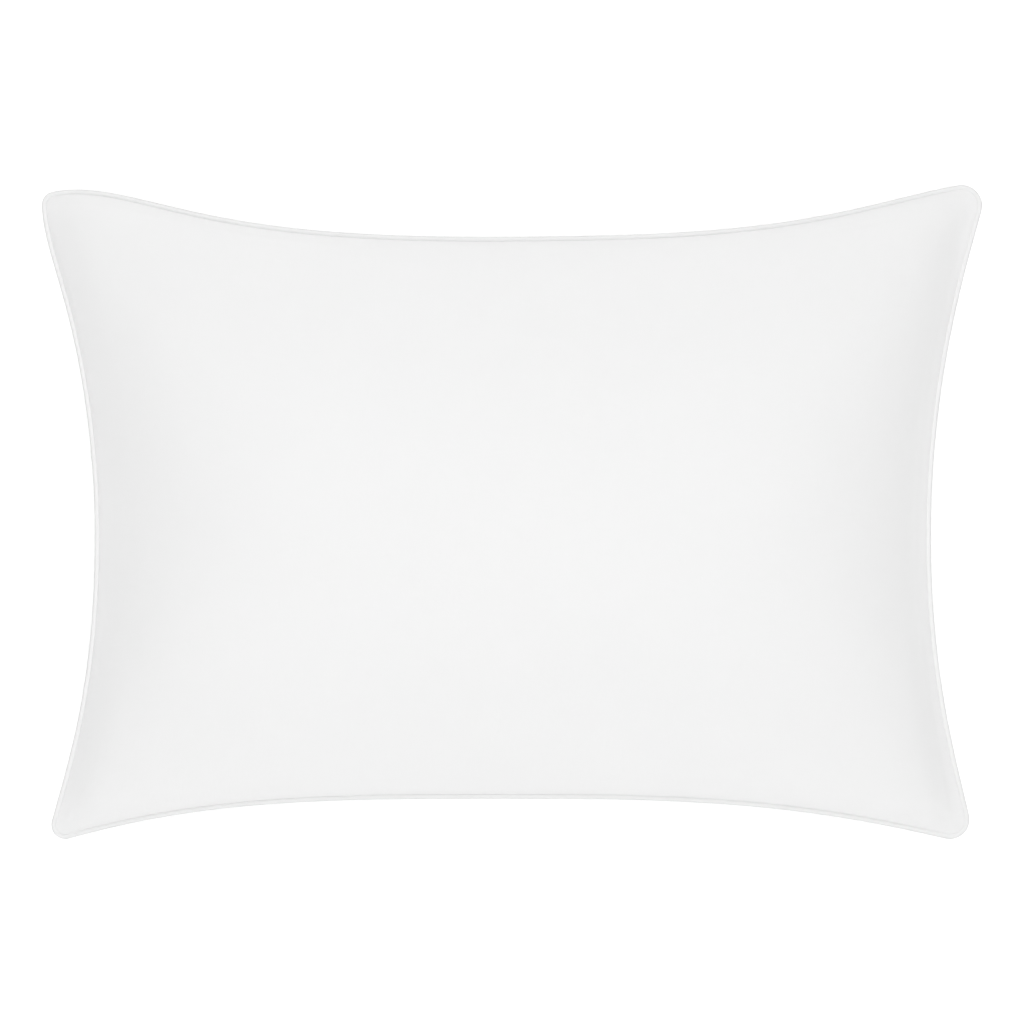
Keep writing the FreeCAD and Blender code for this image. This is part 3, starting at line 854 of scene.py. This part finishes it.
class Nodes:
    """Short calls that add nodes to a material."""

    def __init__(self, material):
        """material is one that is there already, or the name of a new one."""
        if isinstance(material, str):
            material = bpy.data.materials.new(material)
            material.use_nodes = True
        self.material = material
        self.tree = self.material.node_tree
        self.surface = self.tree.nodes["Principled BSDF"]

    def add(self, kind, **settings):
        node = self.tree.nodes.new("ShaderNode" + kind)
        for key, value in settings.items():
            setattr(node, key, value)
        return node

    def link(self, source, target):
        self.tree.links.new(source, target)

    def math(self, operation, a, b=None, c=None):
        """The result of a Math node; a, b and c are numbers or sockets."""
        node = self.add("Math", operation=operation)
        for k, value in enumerate((a, b, c)):
            if value is None:
                continue
            if isinstance(value, (int, float)):
                node.inputs[k].default_value = value
            else:
                self.link(value, node.inputs[k])
        return node.outputs[0]

    def cut_places(self, angle=0.0):
        """The x and y, in metres, of a place on the cloth before it was sewn."""
        spot = self.add("UVMap", uv_map="cut").outputs[0]
        turned = self.add("VectorRotate", rotation_type="Z_AXIS")
        turned.inputs["Angle"].default_value = angle
        self.link(spot, turned.inputs["Vector"])
        parts = self.add("SeparateXYZ")
        self.link(turned.outputs[0], parts.inputs[0])
        return parts.outputs[0], parts.outputs[1]

    def noise_at(self, x, y, size_x, size_y, detail=2.0):
        """Noise from 0 to 1 with patches of this size."""
        spot = self.add("CombineXYZ")
        self.link(self.math("DIVIDE", x, size_x), spot.inputs[0])
        self.link(self.math("DIVIDE", y, size_y), spot.inputs[1])
        node = self.add("TexNoise", noise_dimensions="2D")
        node.inputs["Scale"].default_value = 1.0
        node.inputs["Detail"].default_value = detail
        self.link(spot.outputs[0], node.inputs["Vector"])
        return node.outputs[0]

    def tint(self, dark, light, amount):
        """Base colour between two, by an amount from 0 to 1."""
        ramp = self.add("Mix", data_type="RGBA")
        ramp.inputs[6].default_value = (*dark, 1)
        ramp.inputs[7].default_value = (*light, 1)
        self.link(amount, ramp.inputs[0])
        self.link(ramp.outputs[2], self.surface.inputs["Base Color"])

    def over(self, colour, amount):
        """Lays another colour over the base colour, by an amount from 0 to 1."""
        base = self.surface.inputs["Base Color"]
        ramp = self.add("Mix", data_type="RGBA")
        self.link(base.links[0].from_socket, ramp.inputs[6])
        ramp.inputs[7].default_value = (*colour, 1)
        self.link(amount, ramp.inputs[0])
        self.link(ramp.outputs[2], base)

    def bump(self, height, distance, strength=1.0, normal=None):
        node = self.add("Bump")
        node.inputs["Strength"].default_value = strength
        node.inputs["Distance"].default_value = distance
        self.link(height, node.inputs["Height"])
        if normal:
            self.link(normal, node.inputs["Normal"])
        return node.outputs[0]


def woven(name, colour, pitch, relief, angle=0.0, contrast=0.02, sheen=0.06, roughness=0.9):
    """Plain weave: threads over and under each other, with thicker and thinner threads."""
    n = Nodes(name)
    x, y = n.cut_places(angle)
    turn = math.pi / pitch
    over = n.math("MULTIPLY", n.math("SINE", n.math("MULTIPLY", x, turn)),
                  n.math("SINE", n.math("MULTIPLY", y, turn)))
    warp = n.noise_at(x, y, pitch * SLUB_WIDTH, pitch * SLUB_LENGTH)
    weft = n.noise_at(x, y, pitch * SLUB_LENGTH, pitch * SLUB_WIDTH)
    slub = n.math("MULTIPLY", n.math("ADD", warp, weft), 0.5)
    cloud = n.noise_at(x, y, CLOUD, CLOUD, 3.0)
    shade = n.math("ADD", n.math("MULTIPLY", slub, 0.7), n.math("MULTIPLY", cloud, 0.3))
    light = tuple(min(c * (1 + contrast), 1) for c in colour)
    dark = tuple(c * (1 - contrast) for c in colour)
    n.tint(dark, light, shade)
    height = n.math("ADD", n.math("MULTIPLY", over, 0.5), slub)
    weave = n.bump(height, relief)
    crumple = n.bump(n.noise_at(x, y, CRUMPLE, CRUMPLE, 3.0), CRUMPLE_RELIEF, 1.0, weave)
    n.link(crumple, n.surface.inputs["Normal"])
    n.surface.inputs["Roughness"].default_value = roughness
    n.surface.inputs["Specular IOR Level"].default_value = 0.25
    n.surface.inputs["Sheen Weight"].default_value = sheen
    n.surface.inputs["Sheen Roughness"].default_value = 0.5
    return n.material


def painted_shade_on_piping(material):
    """Paints shade on the piping's outer side: greys it a little and in patches, where the bead's
    outer flank is in shade.
    """
    n = Nodes(material)
    along, girth = n.cut_places()
    away = n.math("ABSOLUTE", n.math("SUBTRACT", girth, math.pi * BEAD_RADIUS))
    edge = n.add("MapRange", interpolation_type="SMOOTHSTEP")
    edge.inputs["From Min"].default_value = PIPING_SHADE_WIDTH
    edge.inputs["From Max"].default_value = 0.0
    n.link(away, edge.inputs["Value"])
    patchy = n.noise_at(along, girth, PIPING_SHADE_PATCH, PIPING_SHADE_PATCH)
    # Painted shade: the bead's outer side is mixed towards grey, most at the outermost line.
    n.over((PIPING_SHADE_TONE,) * 3, n.math("MULTIPLY", edge.outputs[0], n.math("ADD", patchy, 0.5)))


def satin(name, colour):
    """Warp-faced satin ribbon with close lengthwise threads and firmer edges."""
    n = Nodes(name)
    x, y = n.cut_places()
    threads = n.math("SINE", n.math("MULTIPLY", x, 2 * math.pi / SATIN_PITCH))
    floats = n.noise_at(x, y, 0.0003, 0.0025)
    shade = n.noise_at(x, y, 0.0006, 0.012)
    n.tint(tuple(c * 0.96 for c in colour), colour, shade)
    edge = n.math("ABSOLUTE", n.math("SUBTRACT", x, LABEL_WIDTH / 2))
    firm = n.math("GREATER_THAN", edge, LABEL_WIDTH / 2 - SELVEDGE)
    height = n.math("ADD", n.math("MULTIPLY", threads, 0.3), floats)
    height = n.math("ADD", height, n.math("MULTIPLY", firm, 0.8))
    n.link(n.bump(height, 0.00004), n.surface.inputs["Normal"])
    n.surface.inputs["Roughness"].default_value = 0.38
    n.surface.inputs["Sheen Weight"].default_value = 0.1
    n.surface.inputs["Anisotropic"].default_value = 0.5
    return n.material


def spun(name, colour, lay, relief):
    """Twisted thread or strands, with one ridge to each lay and this relief."""
    n = Nodes(name)
    twist = 2 * math.pi / lay
    spot = n.add("TexCoord").outputs["Object"]
    parts = n.add("SeparateXYZ")
    n.link(spot, parts.inputs[0])
    across = n.math("ADD", parts.outputs[0], parts.outputs[1])
    ply = n.math("SINE", n.math("MULTIPLY", n.math("ADD", across, parts.outputs[2]), twist))
    fluff = n.add("TexNoise")
    fluff.inputs["Scale"].default_value = 1800
    n.link(spot, fluff.inputs["Vector"])
    n.tint(tuple(c * 0.9 for c in colour), colour, fluff.outputs[0])
    height = n.math("ADD", n.math("MULTIPLY", ply, 0.5), fluff.outputs[0])
    n.link(n.bump(height, relief), n.surface.inputs["Normal"])
    n.surface.inputs["Roughness"].default_value = 0.8
    n.surface.inputs["Sheen Weight"].default_value = 0.2
    return n.material


def fluffy(name, colour):
    """Loose polyester fibre."""
    n = Nodes(name)
    spot = n.add("TexCoord").outputs["Object"]
    heights = []
    for scale, detail in ((60, 6.0), (420, 4.0)):
        node = n.add("TexNoise")
        node.inputs["Scale"].default_value = scale
        node.inputs["Detail"].default_value = detail
        node.inputs["Distortion"].default_value = 1.5
        n.link(spot, node.inputs["Vector"])
        heights.append(node.outputs[0])
    n.tint(tuple(c * 0.93 for c in colour), colour, heights[0])
    height = n.math("ADD", heights[0], n.math("MULTIPLY", heights[1], 0.4))
    n.link(n.bump(height, 0.0012), n.surface.inputs["Normal"])
    n.surface.inputs["Roughness"].default_value = 1.0
    n.surface.inputs["Sheen Weight"].default_value = 0.4
    return n.material


# ---------------------------------------------------------------- studio


def pale_cove():
    """A round pale floor whose edge curves up into a low wall."""
    bend = np.linspace(0, math.pi / 2, 9)[1:]
    edge = FLOOR_RADIUS + COVE_RADIUS
    radii = [0.5, 2.0, 4.0, FLOOR_RADIUS]
    radii += (FLOOR_RADIUS + COVE_RADIUS * np.sin(bend)).tolist() + [edge]
    heights = [0, 0, 0, 0] + (COVE_RADIUS - COVE_RADIUS * np.cos(bend)).tolist() + [WALL_HEIGHT]
    angle = np.arange(FLOOR_SIDES) * 2 * math.pi / FLOOR_SIDES
    around = np.stack([np.cos(angle), np.sin(angle)], axis=1)
    rings = [np.hstack([around * r, np.full((FLOOR_SIDES, 1), z)]) for r, z in zip(radii, heights)]
    at = np.arange(FLOOR_SIDES * len(radii)).reshape(-1, FLOOR_SIDES)
    faces = np.vstack([strip(at[k + 1], at[k]) for k in range(len(radii) - 1)]).tolist()
    cove = new_object("pale_cove", np.vstack(rings), faces + [at[0].tolist()])
    cove.data.polygons.foreach_set("use_smooth", [True] * len(cove.data.polygons))
    n = Nodes("pale_floor")
    n.surface.inputs["Base Color"].default_value = (FLOOR_TONE, FLOOR_TONE, FLOOR_TONE, 1)
    n.surface.inputs["Roughness"].default_value = 0.9
    n.surface.inputs["Specular IOR Level"].default_value = 0.0
    n.surface.inputs["Emission Color"].default_value = (1, 1, 1, 1)
    n.surface.inputs["Emission Strength"].default_value = FLOOR_GLOW
    cove.data.materials.append(n.material)


def sky():
    """World light that is brightest towards +Y and -Y, weaker overhead, and falls to nothing
    low down towards +X and -X."""
    world = bpy.data.worlds.new("studio")
    bpy.context.scene.world = world
    world.use_nodes = True
    tree = world.node_tree
    spot = tree.nodes.new("ShaderNodeTexCoord")
    parts = tree.nodes.new("ShaderNodeSeparateXYZ")
    tree.links.new(spot.outputs["Generated"], parts.inputs[0])
    total = None
    for axis, amount in ((2, WORLD_TOP), (1, WORLD_ENDS)):
        square = tree.nodes.new("ShaderNodeMath")
        square.operation = "POWER"
        square.inputs[1].default_value = 2.0
        tree.links.new(parts.outputs[axis], square.inputs[0])
        added = tree.nodes.new("ShaderNodeMath")
        added.operation = "MULTIPLY_ADD"
        added.inputs[1].default_value = amount
        added.inputs[2].default_value = 0.0
        tree.links.new(square.outputs[0], added.inputs[0])
        if total:
            tree.links.new(total, added.inputs[2])
        total = added.outputs[0]
    tree.links.new(total, tree.nodes["Background"].inputs["Strength"])
    tree.nodes["Background"].inputs["Color"].default_value = (1, 1, 1, 1)


def studio():
    """The stage, the lights, and the camera overhead."""
    scene = bpy.context.scene
    scene.view_settings.view_transform = "Standard"
    pale_cove()
    sky()

    light = bpy.data.lights.new("softbox", "AREA")
    light.shape = "RECTANGLE"
    light.size, light.size_y = SOFTBOX
    light.energy = SOFTBOX_POWER
    lamp = bpy.data.objects.new("softbox", light)
    lamp.location = (0, 0, SOFTBOX_HEIGHT)
    scene.collection.objects.link(lamp)

    camera = bpy.data.objects.new("camera", bpy.data.cameras.new("camera"))
    scene.collection.objects.link(camera)
    scene.camera = camera
    camera.data.lens = LENS
    wide = (CAD_BOX[1].x - CAD_BOX[0].x) / VIEW_SHARE
    tips = SEAM_HEIGHT - TIP_DROOP
    camera.location = (0, 0, tips + wide * LENS / camera.data.sensor_width)


# ---------------------------------------------------------------- making

percale = woven("white_percale", COTTON, THREAD_PITCH, THREAD_RELIEF)
bias_percale = woven("white_bias_percale", COTTON, THREAD_PITCH, THREAD_RELIEF, math.pi / 4)
# Painted shade on the outer side of the piping's bead.
painted_shade_on_piping(bias_percale)
label_satin = satin("label_satin", (0.88, 0.88, 0.87))
sewing_thread = spun("sewing_thread", (0.9, 0.9, 0.89), 0.0004, 0.00003)
cotton_cord = spun("cotton_cord", (0.83, 0.81, 0.76), 0.0006, 0.00006)
fibre = fluffy("polyester_fibre", (0.92, 0.92, 0.91))

studio()

above, below = settled_cover()
plan = fine_plan()
top_cloth, _ = panel("top_cloth", finer(above, plan), plan, 1, percale)
bottom_cloth, bottom_outer = panel("bottom_cloth", finer(below, plan), plan, -1, percale)
piping_strip = piping(bias_percale)
stitches = closing_stitches(bottom_outer, plan, sewing_thread)
label, label_length = care_label(label_satin)
cord = twisted_cord(cotton_cord)


def sheet_depth(depth):
    return np.minimum(WADDING, WADDING_SHARE * (depth - 2 * FILL_PLAY))


upper_wadding = filling_layer(
    "upper_wadding_sheet", above, below, WADDING_CELLS,
    lambda d: d - FILL_PLAY, lambda d: d - FILL_PLAY - sheet_depth(d), fibre,
)
lower_wadding = filling_layer(
    "lower_wadding_sheet", above, below, WADDING_CELLS,
    lambda d: FILL_PLAY + sheet_depth(d), lambda d: FILL_PLAY, fibre,
)
core = filling_layer(
    "fibre_filling", above, below, CORE_CELLS,
    lambda d: d - 2 * FILL_PLAY - sheet_depth(d), lambda d: 2 * FILL_PLAY + sheet_depth(d), fibre,
)

for node in ("seam_thread", "overlock_thread"):
    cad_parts[node].data.materials.clear()
    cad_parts[node].data.materials.append(sewing_thread)

for piece, node, slot_name in (
    (top_cloth, "top_panel", "cover_cloth"),
    (bottom_cloth, "bottom_panel", "cover_cloth"),
    (piping_strip, "piping_cover", "piping_cloth"),
    (cord, "piping_cord", "cord"),
    (stitches, "closing_thread", "thread"),
    (label, "care_label", "label_satin"),
    (upper_wadding, "upper_wadding", "filling"),
    (core, "fibre_core", "filling"),
    (lower_wadding, "lower_wadding", "filling"),
):
    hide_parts(node)
